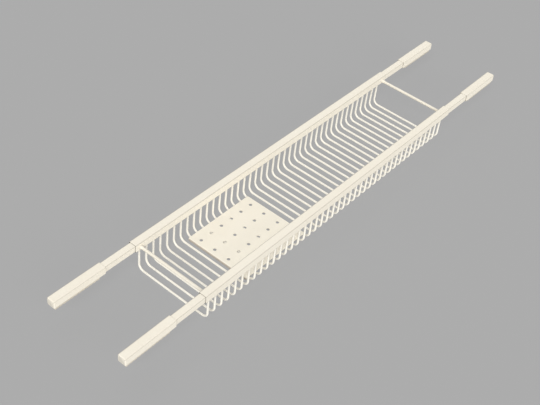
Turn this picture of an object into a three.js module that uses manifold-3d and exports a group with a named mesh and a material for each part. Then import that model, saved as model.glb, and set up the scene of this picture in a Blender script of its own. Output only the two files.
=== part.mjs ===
// An extending rack that lies across a bath. Two square rails carry a basket of
// bent wires, an arm slides out of each end of each rail, and a soft grip on the
// arm rests on the bath's rim. A soap tray lies on the basket's wires.
//
// Lengths are in millimetres. X runs along the rack, Y across it and Z up. The
// origin is under the middle of the basket, at the level of its lowest wires.
// Left is towards -X and front is towards -Y.

import * as THREE from 'three';
import { mergeVertices } from 'three/addons/utils/BufferGeometryUtils.js';
import Module from 'manifold-3d';

const wasm = await Module();
wasm.setup();

// Rails: thin square tubes with a turned-in lip at each mouth
const railLength = 505;
const railSize = 11.3;
const railWall = 0.4;
const railCorner = 1.4;
const railEdge = 0.35;
const railSpacing = 112;
const lipLength = 2;
const lipPlay = 0.3;

// Arms: square tubes that slide in the rails
const armPlay = 0.55;
const armWall = 0.6;
const armCorner = 1.1;
const armEdge = 0.2;
const armInRail = 84;
const armShown = 47;

// Glides: plastic plugs in the arms' inner ends, which run in the rails' bore
const glideLength = 40;
const glideCollarLength = 8;
const glidePlay = 0.15;
const glideCorner = 0.9;
const glideEdge = 0.3;
const glideWaistDrop = 0.9;
const glideRecessWall = 1.5;
const glideRecessDepth = 20;
const glideSlitWidth = 1.2;
const glideSlitLength = 17;
const spigotLength = 12;
const spigotPlay = 0.1;
const spigotCorner = 0.7;
const spigotEdge = 0.4;

// Grips: moulded sleeves on the arms' outer ends, with a ribbed foot below
const gripLength = 76;
const gripSideWall = 1.3;
const gripTopWall = 0.8;
const gripCorner = 1.4;
const gripEdge = 0.8;
const gripEndWall = 4;
const gripPocketPlay = 0.1;
const footHeight = 3.2;
const footSink = 0.5;
const footSideInset = 0.9;
const footTipInset = 5.5;
const footInnerInset = 11.5;
const footCorner = 1.2;
const footGrooves = 11;
const footGrooveWidth = 1.6;
const footGrooveDepth = 0.7;

// Basket: bent wires welded under the rails, and a round bar across each end
const basketHeight = 38.85;
const wireCount = 42;
const wireDiameter = 2.8;
const wireBendRadius = 8.4;
const wireEndInset = 10.6;
const barDiameter = 3.9;
const barEndInset = 8.2;
const barDrop = 1;
const weldLength = 1.3;
const weldRise = 0.6;

// Soap tray: a pierced sheet that lies on the wires. Its left end is folded down
// between two wires, so that it can't slide along the basket.
const wireCountBeforeTray = 7;
const wireCountUnderTray = 10;
const trayFoldShift = 0.9;
const trayPastWire = 0.4;
const traySideGap = 2.05;
const trayGap = 0.3;
const traySheet = 1.2;
const trayFoldRadius = 2;
const trayFoldHeight = 3.8;
const trayFoldLean = 1.4;
const trayCorner = 2;
const trayColumns = 6;
const trayRows = 4;
const trayHoleEndInset = 9.5;
const trayHoleSideInset = 13.8;
const trayHoleShift = 0.6;
const trayHoleDiameter = 4.4;

// How finely curves are cut into flats
const cornerSegments = 2;
const edgeSegments = 1;
const bendSpans = 3;
const wireSides = 8;
const barSides = 12;
const holeSegments = 10;

// One length by which every cutting solid runs past what it cuts
const overrun = 1;

// Sizes that follow from the ones above
const railBore = railSize - 2 * railWall;
const railBoreCorner = railCorner - railWall;
const armSize = railBore - 2 * armPlay;
const armBore = armSize - 2 * armWall;
const armBoreCorner = armCorner - armWall;
const mouthSize = armSize + 2 * lipPlay;
const gripWidth = armSize + 2 * gripSideWall;
const gripHeight = armSize + 2 * gripTopWall;
const armInGrip = gripLength - gripEndWall;
const armLength = armInRail + armShown + armInGrip;
const wireRadius = wireDiameter / 2;
const railGap = railSpacing - railSize;
const railMiddle = basketHeight + railSize / 2;
const railEnd = railLength / 2;
const gripStart = railEnd + armShown;
const firstWire = wireEndInset - railEnd;
const wirePitch = (railLength - 2 * wireEndInset) / (wireCount - 1);
const trayFold = firstWire + (wireCountBeforeTray - 0.5) * wirePitch + trayFoldShift;
const trayLeft = trayFold - traySheet / 2;
const trayLastWire = firstWire + (wireCountBeforeTray + wireCountUnderTray - 1) * wirePitch;
const trayRight = trayLastWire + trayPastWire;
const trayLength = trayRight - trayLeft;
const trayMiddle = (trayLeft + trayRight) / 2;
const trayTop = wireDiameter + trayGap + traySheet;
const trayWidth = railGap - 2 * traySideGap;
const trayColumnPitch = (trayLength - 2 * trayHoleEndInset) / (trayColumns - 1);
const trayRowPitch = (trayWidth - 2 * trayHoleSideInset) / (trayRows - 1);

const coatColour = 0xf1e9d7;
const gripColour = 0xe9e0cb;
const glideColour = 0xe4e2da;

// Turns a shape's X, Y and depth into the rack's Y, Z and X
const alongRack = new THREE.Matrix4().makeBasis(
  new THREE.Vector3(0, 1, 0),
  new THREE.Vector3(0, 0, 1),
  new THREE.Vector3(1, 0, 0)
);

// A rectangle with round corners, centred on the origin
function roundedRectangle(width, height, corner) {
  const x = width / 2;
  const y = height / 2;
  const shape = new THREE.Shape();
  shape.moveTo(corner - x, -y);
  shape.lineTo(x - corner, -y);
  shape.absarc(x - corner, corner - y, corner, -Math.PI / 2, 0);
  shape.lineTo(x, y - corner);
  shape.absarc(x - corner, y - corner, corner, 0, Math.PI / 2);
  shape.lineTo(corner - x, y);
  shape.absarc(corner - x, y - corner, corner, Math.PI / 2, Math.PI);
  shape.lineTo(-x, corner - y);
  shape.absarc(corner - x, corner - y, corner, Math.PI, 1.5 * Math.PI);
  return shape;
}

// A prism along X from start to end, its end edges eased by the given amount
function prismAlongRack(shape, start, end, edge = 0) {
  const geometry = new THREE.ExtrudeGeometry(shape, {
    depth: end - start - 2 * edge,
    curveSegments: cornerSegments,
    bevelEnabled: edge > 0,
    bevelThickness: edge,
    bevelSize: edge,
    bevelOffset: -edge,
    bevelSegments: edgeSegments
  });
  geometry.applyMatrix4(alongRack);
  geometry.translate(start + edge, 0, 0);
  return geometry;
}

// A box between two corners
function boxBetween(low, high) {
  const size = high.map((value, axis) => value - low[axis]);
  const geometry = new THREE.BoxGeometry(...size);
  geometry.translate(...low.map((value, axis) => value + size[axis] / 2));
  return geometry;
}

// A closed geometry as a solid that can be joined and cut
function toSolid(geometry) {
  const bare = geometry.clone();
  bare.deleteAttribute('normal');
  bare.deleteAttribute('uv');
  const merged = mergeVertices(bare);
  return new wasm.Manifold(new wasm.Mesh({
    numProp: 3,
    vertProperties: new Float32Array(merged.attributes.position.array),
    triVerts: new Uint32Array(merged.index.array)
  }));
}

function toGeometry(solid) {
  const mesh = solid.getMesh();
  const geometry = new THREE.BufferGeometry();
  geometry.setAttribute('position', new THREE.BufferAttribute(mesh.vertProperties, mesh.numProp));
  geometry.setIndex(new THREE.BufferAttribute(mesh.triVerts, 1));
  geometry.computeVertexNormals();
  return geometry;
}

// Cuts every tool out of the body
function cut(body, tools) {
  let solid = toSolid(body);
  for (const tool of tools) {
    solid = solid.subtract(toSolid(tool));
  }
  return solid;
}

// A rail: a square tube whose bore is drawn in to a lip at both mouths
function railGeometry() {
  const outside = roundedRectangle(railSize, railSize, railCorner);
  const mouth = roundedRectangle(mouthSize, mouthSize, armCorner);
  const bore = roundedRectangle(railBore, railBore, railBoreCorner);
  const boreEnd = railEnd - lipLength;
  return toGeometry(cut(prismAlongRack(outside, -railEnd, railEnd, railEdge), [
    prismAlongRack(mouth, -railEnd - overrun, railEnd + overrun),
    prismAlongRack(bore, -boreEnd, boreEnd)
  ]));
}

// An arm for the right end of a rail: a square tube, open at both ends
function armGeometry() {
  const start = railEnd - armInRail;
  const end = start + armLength;
  const outside = roundedRectangle(armSize, armSize, armCorner);
  const bore = roundedRectangle(armBore, armBore, armBoreCorner);
  return toGeometry(cut(prismAlongRack(outside, start, end, armEdge), [
    prismAlongRack(bore, start - overrun, end + overrun)
  ]));
}

// A glide: a spigot that fills the arm's end, a collar against the arm, a waist,
// and four sprung fingers that rub in the rail's bore and hold the arm by friction
function glideGeometry() {
  const armStart = railEnd - armInRail;
  const collarStart = armStart - glideCollarLength;
  const tail = armStart - glideLength;
  const recessEnd = tail + glideRecessDepth;
  const collarSize = railBore - 2 * glidePlay;
  const waistSize = collarSize - 2 * glideWaistDrop;
  const spigotSize = armBore - 2 * spigotPlay;
  const recessSize = collarSize - 2 * glideRecessWall;
  const collar = roundedRectangle(collarSize, collarSize, glideCorner);
  const waist = roundedRectangle(waistSize, waistSize, glideCorner);
  const spigot = roundedRectangle(spigotSize, spigotSize, spigotCorner);
  const recess = roundedRectangle(recessSize, recessSize, spigotCorner);
  const reach = collarSize / 2 + overrun;
  const slit = glideSlitWidth / 2;
  const slitEnd = tail + glideSlitLength;
  let solid = toSolid(prismAlongRack(collar, collarStart, armStart, glideEdge));
  solid = solid.add(toSolid(prismAlongRack(waist, recessEnd - overrun, collarStart + overrun)));
  solid = solid.add(toSolid(prismAlongRack(collar, tail, recessEnd + glideEdge, glideEdge)));
  solid = solid.add(toSolid(prismAlongRack(spigot, armStart - overrun, armStart + spigotLength, spigotEdge)));
  solid = solid.subtract(toSolid(prismAlongRack(recess, tail - overrun, recessEnd - glideRecessWall)));
  solid = solid.subtract(toSolid(boxBetween([tail - overrun, -reach, -slit], [slitEnd, reach, slit])));
  solid = solid.subtract(toSolid(boxBetween([tail - overrun, -slit, -reach], [slitEnd, slit, reach])));
  return toGeometry(solid);
}

// A grip: a sleeve closed at its tip, on a narrower foot with grooves across it
function gripGeometry() {
  const end = gripStart + gripLength;
  const pocketSize = armSize + 2 * gripPocketPlay;
  const footStart = gripStart + footInnerInset;
  const footEnd = end - footTipInset;
  const footWidth = gripWidth - 2 * footSideInset;
  const footBottom = -gripHeight / 2 - footHeight;
  const footTop = -gripHeight / 2 + footSink;
  const footMiddle = (footBottom + footTop) / 2;
  const outside = roundedRectangle(gripWidth, gripHeight, gripCorner);
  const pocket = roundedRectangle(pocketSize, pocketSize, armCorner);
  const footOutline = roundedRectangle(footEnd - footStart, footWidth, footCorner);
  const foot = new THREE.ExtrudeGeometry(footOutline, {
    depth: footTop - footBottom,
    curveSegments: cornerSegments,
    bevelEnabled: false
  });
  foot.translate((footStart + footEnd) / 2, 0, footMiddle - (footTop - footBottom) / 2);
  let solid = toSolid(prismAlongRack(outside, gripStart, end, gripEdge)).add(toSolid(foot));
  const groovePitch = (footEnd - footStart) / (footGrooves + 1);
  for (let groove = 1; groove <= footGrooves; groove += 1) {
    const middle = footStart + groove * groovePitch;
    solid = solid.subtract(toSolid(boxBetween(
      [middle - footGrooveWidth / 2, -footWidth / 2 - overrun, footBottom - overrun],
      [middle + footGrooveWidth / 2, footWidth / 2 + overrun, footBottom + footGrooveDepth]
    )));
  }
  solid = solid.subtract(toSolid(prismAlongRack(pocket, gripStart - overrun, end - gripEndWall)));
  return toGeometry(solid);
}

// The centre line of a basket wire: down from one rail, round a bend, across the
// bottom, round the other bend and up. Its stations are the ends of the straight
// runs and the steps of the bends, and the spacing between them doesn't matter.
class BasketWirePath extends THREE.Curve {
  constructor() {
    super();
    this.stations = [];
    const bendMiddle = railSpacing / 2 - wireBendRadius;
    const bendLevel = wireRadius + wireBendRadius;
    this.addStation(railSpacing / 2, basketHeight, 0);
    for (let step = 0; step <= bendSpans; step += 1) {
      const turn = (step / bendSpans) * (Math.PI / 2);
      const y = bendMiddle + wireBendRadius * Math.cos(turn);
      this.addStation(y, bendLevel - wireBendRadius * Math.sin(turn), turn);
    }
    for (let step = bendSpans; step >= 0; step -= 1) {
      const turn = (step / bendSpans) * (Math.PI / 2);
      const y = bendMiddle + wireBendRadius * Math.cos(turn);
      this.addStation(-y, bendLevel - wireBendRadius * Math.sin(turn), Math.PI - turn);
    }
    this.addStation(-railSpacing / 2, basketHeight, Math.PI);
  }

  // The turn is the angle from straight down, towards -Y
  addStation(y, z, turn) {
    this.stations.push({
      point: new THREE.Vector3(0, y, z),
      tangent: new THREE.Vector3(0, -Math.sin(turn), -Math.cos(turn))
    });
  }

  get spans() {
    return this.stations.length - 1;
  }

  getPointAt(share, target = new THREE.Vector3()) {
    return target.copy(this.stations[Math.round(share * this.spans)].point);
  }

  getTangentAt(share, target = new THREE.Vector3()) {
    return target.copy(this.stations[Math.round(share * this.spans)].tangent);
  }
}

// A wire's section: a regular polygon whose flats lie on the wire's circle, so
// that the wire rests on a flat and keeps its true height
function wireSection() {
  const points = [];
  const turn = (2 * Math.PI) / wireSides;
  const radius = wireRadius / Math.cos(turn / 2);
  for (let side = 0; side < wireSides; side += 1) {
    const angle = (side + 0.5) * turn;
    points.push(new THREE.Vector2(radius * Math.cos(angle), radius * Math.sin(angle)));
  }
  return new THREE.Shape(points);
}

function wireGeometry() {
  const path = new BasketWirePath();
  return new THREE.ExtrudeGeometry(wireSection(), {
    steps: path.spans,
    extrudePath: path,
    bevelEnabled: false
  });
}

// A cross bar: a round bar with a weld bead swelling at each end, turned about Y
function barGeometry() {
  const half = railGap / 2;
  const radius = barDiameter / 2;
  const profile = [
    [0, -half],
    [radius + weldRise, -half],
    [radius + weldRise / 2, weldLength / 3 - half],
    [radius, weldLength - half],
    [radius, half - weldLength],
    [radius + weldRise / 2, half - weldLength / 3],
    [radius + weldRise, half],
    [0, half]
  ];
  return new THREE.LatheGeometry(profile.map(([x, y]) => new THREE.Vector2(x, y)), barSides);
}

// The tray seen from the front, with its top at z = 0: a sheet whose left end
// bends down, and leans in towards its foot
function trayProfile() {
  const left = -trayLength / 2;
  const right = trayLength / 2;
  const bend = left + trayFoldRadius;
  const foot = left + trayFoldLean;
  const shape = new THREE.Shape();
  shape.moveTo(right, 0);
  shape.lineTo(bend, 0);
  shape.absarc(bend, -trayFoldRadius, trayFoldRadius, Math.PI / 2, Math.PI);
  shape.lineTo(foot, -trayFoldHeight);
  shape.lineTo(foot + traySheet, -trayFoldHeight);
  shape.lineTo(left + traySheet, -trayFoldRadius);
  shape.absarc(bend, -trayFoldRadius, trayFoldRadius - traySheet, Math.PI, Math.PI / 2, true);
  shape.lineTo(right, -traySheet);
  return shape;
}

// A round drill that passes through the tray's sheet at the given place
function trayDrill(x, y) {
  const radius = trayHoleDiameter / 2;
  const drill = new THREE.CylinderGeometry(radius, radius, traySheet + 2 * overrun, holeSegments);
  drill.rotateX(Math.PI / 2);
  drill.translate(x, y, -traySheet / 2);
  return drill;
}

// The tray: its profile across the basket, trimmed to round corners and drilled
// in a grid
function trayGeometry() {
  const body = new THREE.ExtrudeGeometry(trayProfile(), {
    depth: trayWidth,
    curveSegments: cornerSegments,
    bevelEnabled: false
  });
  body.translate(0, 0, -trayWidth / 2);
  body.rotateX(Math.PI / 2);
  const outline = new THREE.ExtrudeGeometry(roundedRectangle(trayLength, trayWidth, trayCorner), {
    depth: trayFoldHeight + 2 * overrun,
    curveSegments: cornerSegments,
    bevelEnabled: false
  });
  outline.translate(0, 0, -trayFoldHeight - overrun);
  let solid = toSolid(body).intersect(toSolid(outline));
  for (let column = 0; column < trayColumns; column += 1) {
    for (let row = 0; row < trayRows; row += 1) {
      const x = (column - (trayColumns - 1) / 2) * trayColumnPitch - trayHoleShift;
      const y = (row - (trayRows - 1) / 2) * trayRowPitch;
      solid = solid.subtract(toSolid(trayDrill(x, y)));
    }
  }
  return toGeometry(solid);
}

function coated() {
  return new THREE.MeshStandardMaterial({ color: coatColour, roughness: 0.45, metalness: 0 });
}

function gripRubber() {
  return new THREE.MeshStandardMaterial({ color: gripColour, roughness: 0.75, metalness: 0 });
}

function glidePlastic() {
  return new THREE.MeshStandardMaterial({ color: glideColour, roughness: 0.5, metalness: 0 });
}

function addMesh(parent, name, geometry, material) {
  const mesh = new THREE.Mesh(geometry, material);
  mesh.name = name;
  parent.add(mesh);
  return mesh;
}

// One arm with its grip and glide. The shapes are those of a right end, and half
// a turn about Z makes them a left end.
function addArm(parent, name, y, turn, shapes) {
  const group = new THREE.Group();
  group.position.set(0, y, railMiddle);
  group.rotation.z = turn;
  addMesh(group, `${name}_arm`, shapes.arm, coated());
  addMesh(group, `${name}_grip`, shapes.grip, gripRubber());
  addMesh(group, `${name}_glide`, shapes.glide, glidePlastic());
  parent.add(group);
}

function addRailsAndArms(rack) {
  const rail = railGeometry();
  const shapes = { arm: armGeometry(), grip: gripGeometry(), glide: glideGeometry() };
  for (const [side, sign] of [['front', -1], ['rear', 1]]) {
    const y = sign * railSpacing / 2;
    addMesh(rack, `${side}_rail`, rail, coated()).position.set(0, y, railMiddle);
    addArm(rack, `${side}_left`, y, Math.PI, shapes);
    addArm(rack, `${side}_right`, y, 0, shapes);
  }
}

function addBasket(rack) {
  const wire = wireGeometry();
  for (let index = 0; index < wireCount; index += 1) {
    const name = `basket_wire_${String(index + 1).padStart(2, '0')}`;
    addMesh(rack, name, wire, coated()).position.x = firstWire + index * wirePitch;
  }
  const bar = barGeometry();
  for (const [side, sign] of [['left', -1], ['right', 1]]) {
    const x = sign * (railEnd - barEndInset);
    addMesh(rack, `${side}_cross_bar`, bar, coated()).position.set(x, 0, railMiddle - barDrop);
  }
}

const rack = new THREE.Group();
addRailsAndArms(rack);
addBasket(rack);
addMesh(rack, 'soap_tray', trayGeometry(), coated()).position.set(trayMiddle, 0, trayTop);

export default rack;
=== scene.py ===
import math

import bmesh
import bpy
import numpy as np
from mathutils import Matrix, Vector


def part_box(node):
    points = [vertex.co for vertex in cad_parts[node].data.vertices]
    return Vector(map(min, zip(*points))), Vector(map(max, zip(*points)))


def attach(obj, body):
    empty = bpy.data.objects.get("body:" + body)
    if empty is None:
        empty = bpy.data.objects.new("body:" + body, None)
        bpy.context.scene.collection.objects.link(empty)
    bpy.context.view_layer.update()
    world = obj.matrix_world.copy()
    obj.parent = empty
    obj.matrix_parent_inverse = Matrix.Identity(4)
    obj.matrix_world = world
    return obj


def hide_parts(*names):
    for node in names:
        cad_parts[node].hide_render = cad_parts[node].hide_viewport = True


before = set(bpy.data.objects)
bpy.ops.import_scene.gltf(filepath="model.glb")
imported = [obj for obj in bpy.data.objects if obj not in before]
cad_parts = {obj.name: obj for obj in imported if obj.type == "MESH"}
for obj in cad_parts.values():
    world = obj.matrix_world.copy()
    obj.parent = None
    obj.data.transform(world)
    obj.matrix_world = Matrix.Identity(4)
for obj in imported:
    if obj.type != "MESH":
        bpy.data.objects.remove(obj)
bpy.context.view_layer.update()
mm = 0.001
print("stage: frame loaded,", len(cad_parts), "nodes")


# Surfaces: every new piece is a grid of points worked out as whole arrays. Lengths are in mm,
# angles in degrees, and the flat shares are shares of a corner's radius.

surfaceRule = dict(smoothAngle=38, joinWithin=0.002, flatShares=(0.25, 0.5), markPower=1.4,
                   steadyGap=0.4, steadyFrom=1.6)


def gridQuads(rows, columns, loopRows=False):
    # Joins each point to its neighbours: columns run round and close on themselves
    r = np.arange(rows if loopRows else rows - 1)[:, None]
    c = np.arange(columns)[None, :]
    r2, c2 = (r + 1) % rows, (c + 1) % columns
    quads = np.stack([r * columns + c, r * columns + c2, r2 * columns + c2, r2 * columns + c], -1)
    return quads.reshape(-1, 4)


def buildPiece(name, shells, marks=None):
    # A shell is (points, quads, caps); caps are rings of point numbers filled with one face.
    # Marks are named numbers, one for each point, that the finishes read.
    points = np.concatenate([s[0].reshape(-1, 3) for s in shells])
    faces, first = [], 0
    for shellPoints, quads, caps in shells:
        faces += (quads + first).tolist() + [(np.asarray(cap) + first).tolist() for cap in caps]
        first += shellPoints.reshape(-1, 3).shape[0]
    mesh = bpy.data.meshes.new(name)
    mesh.from_pydata(points.tolist(), [], faces)
    for mark, values in (marks or {}).items():
        attribute = mesh.attributes.new(mark, "FLOAT", "POINT")
        attribute.data.foreach_set("value", np.asarray(values, np.float32).ravel())
    tidy = bmesh.new()
    tidy.from_mesh(mesh)
    bmesh.ops.remove_doubles(tidy, verts=tidy.verts, dist=surfaceRule["joinWithin"] * mm)
    bmesh.ops.recalc_face_normals(tidy, faces=tidy.faces)
    tidy.to_mesh(mesh)
    tidy.free()
    mesh.polygons.foreach_set("use_smooth", np.ones(len(mesh.polygons), bool))
    mesh.set_sharp_from_angle(angle=math.radians(surfaceRule["smoothAngle"]))
    piece = bpy.data.objects.new(name, mesh)
    bpy.context.scene.collection.objects.link(piece)
    return piece


def squareRing(halfWide, halfHigh, corner, perCorner):
    # Four arcs of a quarter turn, each about a corner's centre: (centre + r cos a, centre + r sin a).
    # Two more points on the flat before and after each arc keep the flats' shading flat.
    turn = np.linspace(0, math.pi / 2, perCorner)
    turn = np.concatenate([turn[:1], turn[:1], turn, turn[-1:], turn[-1:]])
    near, far = surfaceRule["flatShares"]
    slide = corner * np.concatenate([[-far, -near], np.zeros(perCorner), [near, far]])
    angle = turn[None, :] + np.arange(4)[:, None] * math.pi / 2
    signs = np.array([[1, 1], [-1, 1], [-1, -1], [1, -1]], float)
    u = signs[:, :1] * (halfWide - corner) + corner * np.cos(angle) - slide * np.sin(angle)
    v = signs[:, 1:] * (halfHigh - corner) + corner * np.sin(angle) + slide * np.cos(angle)
    return np.stack([u.ravel(), v.ravel()], -1)


def cornerMark(rows, perCorner):
    # A line along each corner, 1 a little above the arc's middle: with t running from 0 at the
    # upright side to 1 at the flat top, the sine of (half a turn times t to the mark's power)
    arc = np.sin(math.pi * np.linspace(0, 1, perCorner) ** surfaceRule["markPower"]).clip(0)
    return np.tile(np.tile(np.concatenate([[0, 0], arc, [0, 0]]), 4), (rows, 1))


def steadyRows(rows, loop):
    # Two more rows near the ends of each long run keep its shading straight
    rows = np.array(rows, float)
    gap = surfaceRule["steadyGap"] * mm
    following = np.roll(rows, -1, 0) if loop else rows[1:]
    steadied = []
    for row, after in zip(rows, following):
        steadied.append(row)
        run = abs(after[0] - row[0])
        if run > surfaceRule["steadyFrom"] * mm:
            steadied += [row + (after - row) * gap / run, after - (after - row) * gap / run]
    return np.array(steadied if loop else steadied + [rows[-1]])


def loftAlongX(rows, middle, perCorner, loop):
    # A rounded rectangle carried along X: each row gives x, half width, half height, corner, and
    # its share of painted shade, 1 inside the bore. Gives the points and the marks for the finishes.
    rows = steadyRows(rows, loop)
    uv = np.stack([squareRing(wide, high, corner, perCorner) for _, wide, high, corner, _ in rows])
    x = rows[:, :1] * np.ones(uv.shape[1])
    points = np.stack([x, uv[..., 0], uv[..., 1]], -1) + np.array([0, middle.y, middle.z])
    marks = {"insideShade": rows[:, 4:] * np.ones(uv.shape[1]), "edge": cornerMark(len(rows), perCorner)}
    return points, marks


def easedEdge(x, half, radius, inward, steps=4):
    # A quarter circle from the side at x, over the edge and in to the end face
    turn = np.linspace(0, math.pi / 2, steps)
    return [(x - inward * radius * (1 - math.sin(t)), half - radius * (1 - math.cos(t))) for t in turn]


def tubeAlongPath(path, normal, binormal, radius, sides):
    # A circle carried along a path: point + r cos a * normal + r sin a * binormal
    angle = (np.arange(sides) * 2 * math.pi / sides)[None, :, None]
    ring = np.cos(angle) * normal[:, None] + np.sin(angle) * binormal[:, None]
    return path[:, None] + radius[:, None, None] * ring


def endCaps(rows, columns):
    return [list(range(columns))[::-1], list(range((rows - 1) * columns, rows * columns))]


def middleOf(node):
    low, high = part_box(node)
    return (low + high) / 2


def finishPiece(piece, body, node, material):
    piece.data.materials.append(material)
    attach(piece, body)
    if node:
        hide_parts(node)
    return piece


# Finishes

def newMaterial(name, base, roughness):
    material = bpy.data.materials.new(name)
    material.use_nodes = True
    shader = material.node_tree.nodes["Principled BSDF"]
    shader.inputs["Base Color"].default_value = (*base, 1)
    shader.inputs["Roughness"].default_value = roughness
    return material, material.node_tree, shader


def noiseOn(tree, place, scale, detail):
    noise = tree.nodes.new("ShaderNodeTexNoise")
    noise.inputs["Scale"].default_value = scale
    noise.inputs["Detail"].default_value = detail
    tree.links.new(place, noise.inputs["Vector"])
    return noise.outputs["Fac"]


def rangeOf(tree, source, low, high, usual=(0.3, 0.7)):
    # The source's usual range, stretched from low to high
    span = tree.nodes.new("ShaderNodeMapRange")
    span.inputs["From Min"].default_value = usual[0]
    span.inputs["From Max"].default_value = usual[1]
    span.inputs["To Min"].default_value = low
    span.inputs["To Max"].default_value = high
    tree.links.new(source, span.inputs["Value"])
    return span.outputs["Result"]


def mixColours(tree, factor, first, second):
    mix = tree.nodes.new("ShaderNodeMix")
    mix.data_type = "RGBA"
    mix.inputs[6].default_value = (*first, 1)
    mix.inputs[7].default_value = (*second, 1)
    tree.links.new(factor, mix.inputs[0])
    return mix.outputs[2]


def markedColour(tree, mark, under, over):
    # The colour below, and the other one where the mark is 1
    reader = tree.nodes.new("ShaderNodeAttribute")
    reader.attribute_name = mark
    mix = tree.nodes.new("ShaderNodeMix")
    mix.data_type = "RGBA"
    mix.inputs[7].default_value = (*over, 1)
    tree.links.new(under, mix.inputs[6])
    tree.links.new(reader.outputs["Fac"], mix.inputs[0])
    return mix.outputs[2]


def bumpFrom(tree, shader, height, strength, distance, before=None):
    bump = tree.nodes.new("ShaderNodeBump")
    bump.inputs["Strength"].default_value = strength
    bump.inputs["Distance"].default_value = distance
    tree.links.new(height, bump.inputs["Height"])
    if before:
        tree.links.new(before, bump.inputs["Normal"])
    tree.links.new(bump.outputs["Normal"], shader.inputs["Normal"])
    return bump.outputs["Normal"]


def cloudedMaterial(name, look, tones):
    # Slow clouds turn the first tone into the second, and one gloss into the other
    material, tree, shader = newMaterial(name, tones[0], look["gloss"][0])
    place = tree.nodes.new("ShaderNodeTexCoord").outputs["Object"]
    clouds = noiseOn(tree, place, look["cloudSize"], look["cloudDetail"])
    colour = mixColours(tree, rangeOf(tree, clouds, 0, 1), *tones)
    tree.links.new(rangeOf(tree, clouds, *look["gloss"]), shader.inputs["Roughness"])
    return material, tree, shader, place, colour


coatLook = dict(tubeTones=((0.93, 0.872, 0.748), (0.912, 0.85, 0.722)),
                wireLitTones=((0.965, 0.928, 0.835), (0.95, 0.908, 0.81)),
                trayLitTones=((0.965, 0.91, 0.787), (0.95, 0.893, 0.765)),
                barShadedTones=((0.87, 0.815, 0.70), (0.852, 0.795, 0.675)), edgeTone=(0.58, 0.54, 0.455),
                weldShadeTone=(0.70, 0.65, 0.55), foldShadeTone=(0.54, 0.48, 0.405),
                insideShadeTone=(0.10, 0.093, 0.083), gloss=(0.42, 0.56),
                cloudSize=28, cloudDetail=3, coatWeight=0.06, coatRoughness=0.25,
                peelSize=620, peelDetail=2, peelBump=0.35, peelDepth=0.018,
                grainSize=2600, grainDetail=1, grainBump=0.3, grainDepth=0.004)


def ivoryCoat(name, tones):
    # Baked powder: a faint orange peel, a finer grain and slow clouds of tone and gloss. It is
    # darker along the tubes' corners, and painted shade darkens the weld beads at the bars' roots,
    # the tray's fold, hole walls and underside, the tubes' bores and their mouths' rims.
    look = coatLook
    material, tree, shader, place, colour = cloudedMaterial(name, look, tones)
    for mark in ("edge", "weldShade", "foldShade", "insideShade"):
        colour = markedColour(tree, mark, colour, look[mark + "Tone"])
    tree.links.new(colour, shader.inputs["Base Color"])
    peel = noiseOn(tree, place, look["peelSize"], look["peelDetail"])
    grain = noiseOn(tree, place, look["grainSize"], look["grainDetail"])
    broad = bumpFrom(tree, shader, peel, look["peelBump"], look["peelDepth"] * mm)
    bumpFrom(tree, shader, grain, look["grainBump"], look["grainDepth"] * mm, broad)
    shader.inputs["Coat Weight"].default_value = look["coatWeight"]
    shader.inputs["Coat Roughness"].default_value = look["coatRoughness"]
    return material


# The inside tone is painted shade in the pocket and on the mouth's rim
gripLook = dict(tones=((0.93, 0.872, 0.748), (0.908, 0.845, 0.716)), edgeTone=(0.67, 0.625, 0.53),
                insideShadeTone=(0.16, 0.148, 0.125), gloss=(0.55, 0.72), cloudSize=60, cloudDetail=3,
                grainSize=2200, grainDetail=2, grainBump=0.5, grainDepth=0.012,
                sheenWeight=0.08, sheenRoughness=0.4)


def gripRubber():
    # Soft-touch moulding: matt, with a fine spark-eroded grain
    look = gripLook
    material, tree, shader, place, colour = cloudedMaterial("ivory_soft_grip", look, look["tones"])
    for mark in ("edge", "insideShade"):
        colour = markedColour(tree, mark, colour, look[mark + "Tone"])
    tree.links.new(colour, shader.inputs["Base Color"])
    grain = noiseOn(tree, place, look["grainSize"], look["grainDetail"])
    bumpFrom(tree, shader, grain, look["grainBump"], look["grainDepth"] * mm)
    shader.inputs["Sheen Weight"].default_value = look["sheenWeight"]
    shader.inputs["Sheen Roughness"].default_value = look["sheenRoughness"]
    return material


# The foot's tones are the grip's cream darkened about a quarter: painted shade under the sleeve
footLook = dict(tones=((0.69, 0.63, 0.52), (0.63, 0.57, 0.465)), gloss=(0.62, 0.8), cloudSize=90,
                cloudDetail=4, grainSize=1800, grainDetail=3, grainBump=0.6, grainDepth=0.02)


def footRubber():
    # Grippier rubber in slow clouds of tone; its taupe is the grip's cream darkened as painted shade
    # under the sleeve
    look = footLook
    material, tree, shader, place, colour = cloudedMaterial("foot_rubber_painted_shade", look, look["tones"])
    tree.links.new(colour, shader.inputs["Base Color"])
    grain = noiseOn(tree, place, look["grainSize"], look["grainDetail"])
    bumpFrom(tree, shader, grain, look["grainBump"], look["grainDepth"] * mm)
    return material


glideLook = dict(tones=((0.74, 0.72, 0.66), (0.66, 0.64, 0.58)), gloss=(0.4, 0.6), streakSize=240,
                 streakDetail=2, streakStretch=(0.05, 1, 1), streakBump=0.3, streakDepth=0.01)


def glidePlastic():
    # Slippery plastic, rubbed in streaks along the rail
    look = glideLook
    material, tree, shader = newMaterial("natural_glide_plastic", look["tones"][0], look["gloss"][0])
    place = tree.nodes.new("ShaderNodeTexCoord").outputs["Object"]
    stretch = tree.nodes.new("ShaderNodeMapping")
    stretch.inputs["Scale"].default_value = look["streakStretch"]
    tree.links.new(place, stretch.inputs["Vector"])
    streaks = noiseOn(tree, stretch.outputs["Vector"], look["streakSize"], look["streakDetail"])
    colour = mixColours(tree, rangeOf(tree, streaks, 0, 1), *look["tones"])
    tree.links.new(colour, shader.inputs["Base Color"])
    tree.links.new(rangeOf(tree, streaks, *look["gloss"]), shader.inputs["Roughness"])
    bumpFrom(tree, shader, streaks, look["streakBump"], look["streakDepth"] * mm)
    return material


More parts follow.
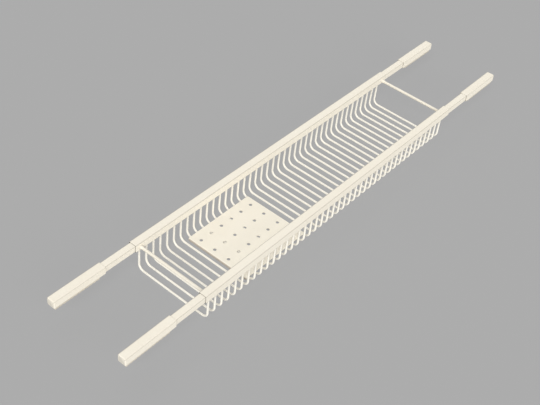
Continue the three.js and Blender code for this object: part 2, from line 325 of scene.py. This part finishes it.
coat = ivoryCoat("ivory_powder_coat", coatLook["tubeTones"])
# The wires' tones are the tubes' tone lightened: painted light
wireLitCoat = ivoryCoat("ivory_wire_coat_painted_light", coatLook["wireLitTones"])
# The tray's tones are the tubes' tone lightened: painted light
trayLitCoat = ivoryCoat("ivory_tray_coat_painted_light", coatLook["trayLitTones"])
# The bars' tones are the tubes' tone darkened: painted shade
barShadedCoat = ivoryCoat("ivory_bar_coat_painted_shade", coatLook["barShadedTones"])
grip, foot, glide = gripRubber(), footRubber(), glidePlastic()
print("stage: finishes made")


# Rails: square tubes, each mouth rolled in to a lip

# rimDark gives the mouth's rows their share of the bore's painted shade, over the eased edge and end
# face
railShape = dict(wall=0.4, corner=1.4, edge=0.35, lipLength=2.0, lipHalf=5.0, lipCorner=1.3, lipRamp=0.7,
                 boreCorner=1.1, mouthFlare=0.22, mouthDepth=0.6, rimDark=(0, 0.1, 0.6, 1), perCorner=7)


def buildRail(name):
    # Rows run along the outside, over one mouth, back through the bore and over the other
    shape = railShape
    low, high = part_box(name)
    half = (high.z - low.z) / 2
    edge = shape["edge"] * mm
    corner = shape["corner"] * mm
    lip = shape["lipHalf"] * mm
    bore = half - shape["wall"] * mm
    rim = zip(easedEdge(high.x, half, edge, 1), shape["rimDark"])
    rightSide = [(x, size, size, corner, dark) for (x, size), dark in rim]
    lipCorner, boreCorner = shape["lipCorner"] * mm, shape["boreCorner"] * mm
    flared = lip + shape["mouthFlare"] * mm
    rightSide += [(high.x, flared, flared, lipCorner, 1),
                  (high.x - shape["mouthDepth"] * mm, lip, lip, lipCorner, 1),
                  (high.x - shape["lipLength"] * mm, lip, lip, lipCorner, 1),
                  (high.x - (shape["lipLength"] + shape["lipRamp"]) * mm, bore, bore, boreCorner, 1)]
    leftSide = [(low.x + high.x - x, *rest) for x, *rest in rightSide[::-1]]
    points, marks = loftAlongX(rightSide + leftSide, middleOf(name), shape["perCorner"], True)
    rows, columns = points.shape[:2]
    piece = buildPiece(name + "_tube", [(points, gridQuads(rows, columns, True), [])], marks=marks)
    return finishPiece(piece, "basket", name, coat)


for railName in ("front_rail", "rear_rail"):
    buildRail(railName)
print("stage: rails")


# Arms: square tubes, open at both ends

armShape = dict(wall=0.6, corner=1.1, edge=0.25, boreCorner=0.55, perCorner=6)


def buildArm(name, body):
    shape = armShape
    low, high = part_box(name)
    half = (high.z - low.z) / 2
    edge, corner = shape["edge"] * mm, shape["corner"] * mm
    bore = half - shape["wall"] * mm
    rightSide = [(x, size, size, corner, 0) for x, size in easedEdge(high.x, half, edge, 1)]
    rightSide += [(high.x, bore, bore, shape["boreCorner"] * mm, 1)]
    leftSide = [(low.x + high.x - x, *rest) for x, *rest in rightSide[::-1]]
    points, marks = loftAlongX(rightSide + leftSide, middleOf(name), shape["perCorner"], True)
    rows, columns = points.shape[:2]
    piece = buildPiece(name + "_tube", [(points, gridQuads(rows, columns, True), [])], marks=marks)
    return finishPiece(piece, body, name, coat)


# Grips: a soft sleeve over the arm's end, and the grooved foot below it

# rimDark gives the mouth's rows their share of the pocket's painted shade
gripShape = dict(corner=1.5, tipEdge=1.0, tipSteps=6, mouthEdge=0.5, mouthLip=0.25, mouthDepth=0.6,
                 rimDark=(0, 0, 0, 0.15, 0.4), pocketHalf=4.8, pocketCorner=1.125, pocketDepth=72,
                 perCorner=7)
# The foot's inner, tip and side are how far it is drawn in from the grip's mouth, tip and sides
footShape = dict(height=3.2, sink=0.6, inner=8, tip=2.0, side=1.1, corner=1.1, edge=0.5, perCorner=4,
                 samples=161, grooves=11, grooveWidth=1.6, grooveDepth=0.7, grooveBlend=0.35)


def buildGrip(name, body, outward):
    # Rows run from a closed tip along the sleeve, over its mouth and in to the pocket's closed end
    shape = gripShape
    low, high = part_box(name)
    tip, mouth = (high.x, low.x) if outward > 0 else (low.x, high.x)
    halfWide = (high.y - low.y) / 2
    halfHigh = (high.z - low.z - footShape["height"] * mm) / 2
    middle = Vector((0, (low.y + high.y) / 2, high.z - halfHigh))
    corner = shape["corner"] * mm
    tipRows = easedEdge(tip, 0, shape["tipEdge"] * mm, outward, shape["tipSteps"])[::-1]
    rows = [(x, halfWide + d, halfHigh + d, corner, 0) for x, d in tipRows]
    mouthRows = easedEdge(mouth, 0, shape["mouthEdge"] * mm, -outward, len(shape["rimDark"]))
    rim = zip(mouthRows, shape["rimDark"])
    rows += [(x, halfWide + d, halfHigh + d, corner, dark) for (x, d), dark in rim]
    pocket, pocketCorner = shape["pocketHalf"] * mm, shape["pocketCorner"] * mm
    depth, drawn = shape["mouthDepth"] * mm, shape["mouthLip"] * mm
    rows += [(mouth, pocket + drawn, pocket + drawn, pocketCorner, 1),
             (mouth + outward * depth, pocket, pocket, pocketCorner, 1),
             (mouth + outward * shape["pocketDepth"] * mm, pocket, pocket, pocketCorner, 1)]
    points, marks = loftAlongX(rows, middle, shape["perCorner"], False)
    count, columns = points.shape[:2]
    sleeve = (points, gridQuads(count, columns), endCaps(count, columns))
    piece = buildPiece(name + "_sleeve", [sleeve], marks=marks)
    return finishPiece(piece, body, name, grip)


def buildFoot(name, body, outward):
    # A bar whose underside rises into each groove by depth * (smooth pulse of x). Its ends are
    # round seen from above: corner * (1 - root of (1 - (1 - distance / corner) squared)).
    shape = footShape
    low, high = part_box(name)
    tip, mouth = (high.x, low.x) if outward > 0 else (low.x, high.x)
    start = mouth + outward * shape["inner"] * mm
    end = tip - outward * shape["tip"] * mm
    corner = shape["corner"] * mm
    halfWide = (high.y - low.y) / 2 - shape["side"] * mm
    top = low.z + (shape["height"] + shape["sink"]) * mm
    length = abs(end - start)
    pitch = length / (shape["grooves"] + 1)
    along = np.linspace(0, length, shape["samples"])
    offset = np.abs((along + pitch / 2) % pitch - pitch / 2)
    near = np.clip((shape["grooveWidth"] * mm / 2 - offset) / (shape["grooveBlend"] * mm) + 0.5, 0, 1)
    inField = (along > pitch / 2) & (along < length - pitch / 2)
    rise = shape["grooveDepth"] * mm * (near * near * (3 - 2 * near)) * inField
    tipDistance = np.minimum(along, length - along)
    drawn = corner * (1 - np.sqrt(1 - np.clip(1 - tipDistance / corner, 0, 1) ** 2))
    rings = []
    for lift, pull in zip(rise, drawn):
        halfHigh = (top - low.z - lift) / 2
        ring = squareRing(halfWide - pull, halfHigh, shape["edge"] * mm, shape["perCorner"])
        rings.append(ring + np.array([0, low.z + lift + halfHigh]))
    uv = np.stack(rings)
    x = (start + outward * along)[:, None] * np.ones(uv.shape[1])
    points = np.stack([x, uv[..., 0] + (low.y + high.y) / 2, uv[..., 1]], -1)
    count, columns = points.shape[:2]
    shell = (points, gridQuads(count, columns), endCaps(count, columns))
    piece = buildPiece(name.replace("_grip", "_foot"), [shell])
    return finishPiece(piece, body, None, foot)


for end, outward in (("left", -1), ("right", 1)):
    for side in ("front", "rear"):
        body = f"{side}_{end}_sliding_arm"
        buildArm(f"{side}_{end}_arm", body)
        buildGrip(f"{side}_{end}_grip", body, outward)
        buildFoot(f"{side}_{end}_grip", body, outward)
        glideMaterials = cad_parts[f"{side}_{end}_glide"].data.materials
        glideMaterials.clear()
        glideMaterials.append(glide)
print("stage: arms, grips and feet")


# Basket wires: a round section carried down, round a bend, across, and up again

wireShape = dict(bend=8.4, bendSteps=10, steady=1.0, sides=16, weldFlare=0.55, weldReach=0.55,
                 weldRows=(0, 0.2, 0.5, 0.9, 1.6))


def wirePath(leg, top, bottom):
    # Straight runs joined by quarter circles about (leg - bend, bottom + bend)
    bend = wireShape["bend"] * mm
    turn = np.linspace(0, math.pi / 2, wireShape["bendSteps"])
    steady = wireShape["steady"] * mm
    drop = np.append(top - np.array(wireShape["weldRows"]) * mm, bottom + bend + steady)
    y = np.concatenate([np.full(drop.size, leg), leg + bend * (np.cos(turn) - 1), [leg - bend - steady]])
    z = np.concatenate([drop, bottom + bend - bend * np.sin(turn), [bottom]])
    angle = np.concatenate([np.zeros(drop.size), turn, turn[-1:]])
    y = np.concatenate([y, -y[::-1]])
    z = np.concatenate([z, z[::-1]])
    angle = np.concatenate([angle, math.pi - angle[::-1]])
    return y, z, angle


def buildWire(name):
    # Radius = wire + flare * exp(-distance below the rail / reach)
    shape = wireShape
    low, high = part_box(name)
    radius = (high.x - low.x) / 2
    y, z, angle = wirePath(high.y - radius, high.z, low.z + radius)
    x = np.full(y.size, (low.x + high.x) / 2)
    path = np.stack([x, y, z], -1)
    normal = np.tile([1.0, 0, 0], (y.size, 1))
    binormal = np.stack([np.zeros(y.size), -np.cos(angle), np.sin(angle)], -1)
    flare = shape["weldFlare"] * mm * np.exp(-(high.z - z) / (shape["weldReach"] * mm))
    points = tubeAlongPath(path, normal, binormal, radius + flare, shape["sides"])
    rows, columns = points.shape[:2]
    piece = buildPiece(name + "_round", [(points, gridQuads(rows, columns), endCaps(rows, columns))])
    return finishPiece(piece, "basket", name, wireLitCoat)


wireNames = sorted(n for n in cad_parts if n.startswith("basket_wire"))
for wireName in wireNames:
    buildWire(wireName)
print("stage: wires,", len(wireNames))


# Cross bars: round bars with a weld bead against each rail

barShape = dict(radius=1.95, sides=20, beadRise=1.3, beadLength=2.0,
                beadRows=(0, 0.3, 0.7, 1.1, 1.6, 2.1, 2.7, 3.4, 4.2, 5.2))


def buildBar(name):
    # Radius = bar + bead * exp(-(distance to the rail / bead length) squared)
    shape = barShape
    low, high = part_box(name)
    reach = np.array(shape["beadRows"]) * mm
    y = np.concatenate([low.y + reach, (high.y - reach)[::-1]])
    middle = middleOf(name)
    path = np.stack([np.full(y.size, middle.x), y, np.full(y.size, middle.z)], -1)
    normal = np.tile([1.0, 0, 0], (y.size, 1))
    binormal = np.tile([0, 0, 1.0], (y.size, 1))
    nearest = np.minimum(y - low.y, high.y - y)
    bead = np.exp(-(nearest / (shape["beadLength"] * mm)) ** 2)
    radius = (shape["radius"] + shape["beadRise"] * bead) * mm
    points = tubeAlongPath(path, normal, binormal, radius, shape["sides"])
    rows, columns = points.shape[:2]
    shell = (points, gridQuads(rows, columns), endCaps(rows, columns))
    # The bead's mark darkens it as painted shade where the bar meets the rail
    piece = buildPiece(name + "_round", [shell], marks={"weldShade": np.repeat(bead, columns)})
    return finishPiece(piece, "basket", name, barShadedCoat)


for barName in ("left_cross_bar", "right_cross_bar"):
    buildBar(barName)
print("stage: cross bars")


# Soap tray: a coated sheet pierced by round holes, its left end folded down. The fold's lean is
# how far it is bent past upright, in degrees. The sheet is even up to plainPast beyond the first
# holes, and what is left of their cells is drawn in to plainLeft.

trayShape = dict(sheet=1.2, edge=0.35, edgeSteps=4, corner=2.0, bend=2.0, lean=3, columns=6, rows=4,
                 endInset=9.5, sideInset=13.8, gridShift=0.6, hole=2.2, holeEdge=0.25, holeFlat=0.75,
                 cellSteps=8, marginSteps=14, plainPast=3.2, plainLeft=3.4, foldShadeFrom=0.3, foldShadeBlend=0.7)


def squareWalk(steps):
    # A walk round the unit square from its lower right corner, counter-clockwise
    t = np.linspace(-1, 1, steps, endpoint=False)
    one = np.ones(steps)
    return np.concatenate([np.stack(side, -1) for side in ((one, t), (-t, one), (-one, -t), (t, -one))])


def ringsToGrid(rings):
    return np.stack([np.concatenate([ring, np.full((len(ring), 1), z)], 1) for ring, z in rings])


def trayCells(centres, halfCell, top, bottom):
    # Each cell runs from its square rim in to the hole's rim, down the hole and out again
    shape = trayShape
    walk = squareWalk(shape["cellSteps"])
    hole, edge = shape["hole"] * mm, shape["holeEdge"] * mm
    rim = walk * halfCell
    direction = rim / np.linalg.norm(rim, axis=1, keepdims=True)
    turn = np.linspace(0, math.pi / 2, shape["edgeSteps"])
    topRings = [(rim, top), (direction * (hole + shape["holeFlat"] * mm), top)]
    topRings += [(direction * (hole + edge * (1 - math.sin(t))), top - edge * (1 - math.cos(t)))
                 for t in turn]
    lowRings = [(ring, bottom + top - z) for ring, z in topRings[::-1]]
    shift = np.concatenate([centres, np.zeros((len(centres), 1))], 1)
    return ringsToGrid(topRings + lowRings)[None] + shift[:, None, None]


def gridRim(centre, half, steps):
    # The outline of all the cells together, and the same walk on the unit square
    tx = np.linspace(-1, 1, steps[0], endpoint=False)
    ty = np.linspace(-1, 1, steps[1], endpoint=False)
    onX, onY = np.ones(len(tx)), np.ones(len(ty))
    sides = ((onY, ty), (-tx, onX), (-onY, -ty), (tx, -onX))
    unit = np.concatenate([np.stack(side, -1) for side in sides])
    return centre + unit * half, unit


def trayMargin(inner, unit, flatLow, flatHigh, top, bottom):
    # The border round the cells: rows go out over the top, round the edge and back below
    shape = trayShape
    edge, corner = shape["edge"] * mm, shape["corner"] * mm
    middle, half = (flatLow + flatHigh) / 2, (flatHigh - flatLow) / 2
    crowded = np.sin(unit * math.pi / 2)

    def outline(inset):
        # The sheet's outline drawn in by the inset: a rectangle with round corners
        p = crowded * (half - inset)
        over = np.maximum(np.abs(p) - (half - corner), 0)
        both = (over > 0).all(1, keepdims=True)
        length = np.where(both, np.linalg.norm(over, axis=1, keepdims=True), 1)
        rounded = np.sign(p) * (half - corner + over / length * (corner - inset))
        return middle + np.where(both, rounded, p)

    share = np.linspace(0, 1, shape["marginSteps"])[:, None, None]
    turn = np.linspace(0, math.pi / 2, shape["edgeSteps"])[1:]
    topRings = [(ring, top) for ring in inner + (outline(edge) - inner) * share]
    topRings += [(outline(edge * (1 - math.sin(t))), top - edge * (1 - math.cos(t))) for t in turn]
    return ringsToGrid(topRings + [(ring, bottom + top - z) for ring, z in topRings[::-1]])


def crowdEnd(points, start, share):
    # Left of the start, a point keeps only a share of its distance from it
    x = points[..., 0]
    points[..., 0] = np.where(x < start, start + (x - start) * share, x)
    return points


def foldDown(points, start, top, limit):
    # Left of the start the sheet turns about (start, top - bend), by distance / neutral radius,
    # up to the limit, and runs straight on from there
    bend = trayShape["bend"] * mm
    neutral = bend - trayShape["sheet"] * mm / 2
    past = np.maximum(start - points[..., 0], 0)
    turn = np.minimum(past / neutral, limit)
    rest = np.maximum(past - neutral * limit, 0)
    reach = bend + points[..., 2] - top
    x = np.where(past > 0, start - reach * np.sin(turn) - rest * np.cos(turn), points[..., 0])
    z = top - bend + reach * np.cos(turn) - rest * np.sin(turn)
    return np.stack([x, points[..., 1], z], -1)


def buildTray(name):
    shape = trayShape
    low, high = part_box(name)
    top, bottom = high.z, high.z - shape["sheet"] * mm
    middle = np.array([(low.x + high.x) / 2 - shape["gridShift"] * mm, (low.y + high.y) / 2])
    insets = np.array([shape["endInset"], shape["sideInset"]]) * mm
    counts = np.array([shape["columns"], shape["rows"]])
    pitch = (np.array([high.x - low.x, high.y - low.y]) - 2 * insets) / (counts - 1)
    column, row = np.meshgrid(np.arange(counts[0]), np.arange(counts[1]), indexing="ij")
    grid = np.stack([column.ravel(), row.ravel()], -1) - (counts - 1) / 2
    firstColumn = middle[0] - (counts[0] - 1) / 2 * pitch[0]
    crowdStart = firstColumn - shape["plainPast"] * mm
    crowdShare = shape["plainLeft"] * mm / (pitch[0] / 2 - shape["plainPast"] * mm)
    bend = shape["bend"] * mm
    limit = math.radians(90 + shape["lean"])
    straight = (high.z - low.z - bend * (1 - math.cos(limit))) / math.sin(limit)
    start = low.x + bend
    flatLow = np.array([start - (bend - shape["sheet"] * mm / 2) * limit - straight, low.y])
    cells = trayCells(middle + grid * pitch, pitch / 2, top, bottom)
    inner, unit = gridRim(middle, pitch * counts / 2, counts * shape["cellSteps"])
    inner = crowdEnd(inner, crowdStart, crowdShare)
    margin = trayMargin(inner, unit, flatLow, np.array([high.x, high.y]), top, bottom)
    shells = [foldDown(crowdEnd(cell, crowdStart, crowdShare), start, top, limit) for cell in cells]
    shells.append(foldDown(margin, start, top, limit))
    # Painted shade comes in with the depth below the top, so it darkens the fold, the holes'
    # walls and the underside
    depth = (top - np.concatenate([shell[..., 2].ravel() for shell in shells])) / mm
    marks = {"foldShade": np.clip((depth - shape["foldShadeFrom"]) / shape["foldShadeBlend"], 0, 1)}
    shells = [(shell, gridQuads(*shell.shape[:2]), []) for shell in shells]
    piece = buildPiece(name + "_sheet", shells, marks=marks)
    return finishPiece(piece, "loose_tray", name, trayLitCoat)


buildTray("soap_tray")
print("stage: soap tray")


# Floor, light and camera

stageLook = dict(floorHalf=6.0, floorTone=0.413, floorRoughness=0.9, bounceTone=0.6, shadowShare=0.2,
                 skyStrength=0.3)
# Each lamp is the direction towards it, its strength and its spread in degrees
lamps = [((-0.67, -0.30, 0.68), 1.46, 22), ((-0.31, -0.85, 0.43), 1.45, 40),
         ((0.0, 0.3, 0.95), 0.45, 50), ((0.60, 0.70, 0.35), 0.45, 70)]


def buildFloor():
    # A pale studio floor that the camera sees as plain grey. Part of that grey shows as it is,
    # so that the rack's shadow stays as faint as the photograph has it.
    half = stageLook["floorHalf"]
    corners = [(-half, -half, 0), (half, -half, 0), (half, half, 0), (-half, half, 0)]
    mesh = bpy.data.meshes.new("floor")
    mesh.from_pydata(corners, [], [(0, 1, 2, 3)])
    floor = bpy.data.objects.new("floor", mesh)
    bpy.context.scene.collection.objects.link(floor)
    tone, bounce = stageLook["floorTone"], stageLook["bounceTone"]
    material, tree, shader = newMaterial("pale_floor", (tone, tone, tone), stageLook["floorRoughness"])
    shader.inputs["Specular IOR Level"].default_value = 0
    glow = tree.nodes.new("ShaderNodeEmission")
    glow.inputs["Color"].default_value = (tone, tone, tone, 1)
    path = tree.nodes.new("ShaderNodeLightPath")
    seen = path.outputs["Is Camera Ray"]
    for ray in ("Is Glossy Ray", "Is Transmission Ray"):
        either = tree.nodes.new("ShaderNodeMath")
        either.operation = "MAXIMUM"
        tree.links.new(seen, either.inputs[0])
        tree.links.new(path.outputs[ray], either.inputs[1])
        seen = either.outputs[0]
    tree.links.new(mixColours(tree, seen, (bounce,) * 3, (tone,) * 3), shader.inputs["Base Color"])
    share = tree.nodes.new("ShaderNodeMath")
    share.operation = "MULTIPLY"
    share.inputs[1].default_value = 1 - stageLook["shadowShare"]
    tree.links.new(seen, share.inputs[0])
    mix = tree.nodes.new("ShaderNodeMixShader")
    tree.links.new(share.outputs[0], mix.inputs[0])
    tree.links.new(shader.outputs[0], mix.inputs[1])
    tree.links.new(glow.outputs[0], mix.inputs[2])
    tree.links.new(mix.outputs[0], tree.nodes["Material Output"].inputs["Surface"])
    mesh.materials.append(material)


def buildLight():
    world = bpy.data.worlds.new("studio")
    world.use_nodes = True
    sky = world.node_tree.nodes["Background"]
    sky.inputs["Color"].default_value = (1, 1, 1, 1)
    sky.inputs["Strength"].default_value = stageLook["skyStrength"]
    bpy.context.scene.world = world
    for number, (towards, strength, spread) in enumerate(lamps):
        lamp = bpy.data.lights.new(f"softbox{number + 1}", "SUN")
        lamp.energy = strength
        lamp.angle = math.radians(spread)
        holder = bpy.data.objects.new(lamp.name, lamp)
        holder.rotation_mode = "QUATERNION"
        holder.rotation_quaternion = Vector(towards).to_track_quat("Z", "Y")
        bpy.context.scene.collection.objects.link(holder)


cameraPlace = dict(azimuth=-54.232, elevation=42.316, roll=6.903, lens=65.955, sensor=36,
                   clip=(0.05, 50), position=(-0.81755, -0.53986, 0.87538))


def buildCamera():
    # Axes from the photograph: right and up are turned by the roll about the line of sight
    place = cameraPlace
    a, e, roll = (math.radians(place[k]) for k in ("azimuth", "elevation", "roll"))
    back = Vector((math.sin(a) * math.cos(e), -math.cos(a) * math.cos(e), math.sin(e)))
    level = Vector((math.cos(a), math.sin(a), 0))
    rise = back.cross(level)
    right = level * math.cos(roll) + rise * math.sin(roll)
    up = rise * math.cos(roll) - level * math.sin(roll)
    camera = bpy.data.objects.new("camera", bpy.data.cameras.new("camera"))
    camera.data.lens = place["lens"]
    camera.data.sensor_width = place["sensor"]
    camera.data.clip_start, camera.data.clip_end = place["clip"]
    turned = Matrix((right, up, back)).transposed().to_4x4()
    camera.matrix_world = Matrix.Translation(place["position"]) @ turned
    bpy.context.scene.collection.objects.link(camera)
    bpy.context.scene.camera = camera


buildFloor()
buildLight()
buildCamera()
bpy.context.scene.view_settings.view_transform = "Standard"
print("stage: floor, light and camera")
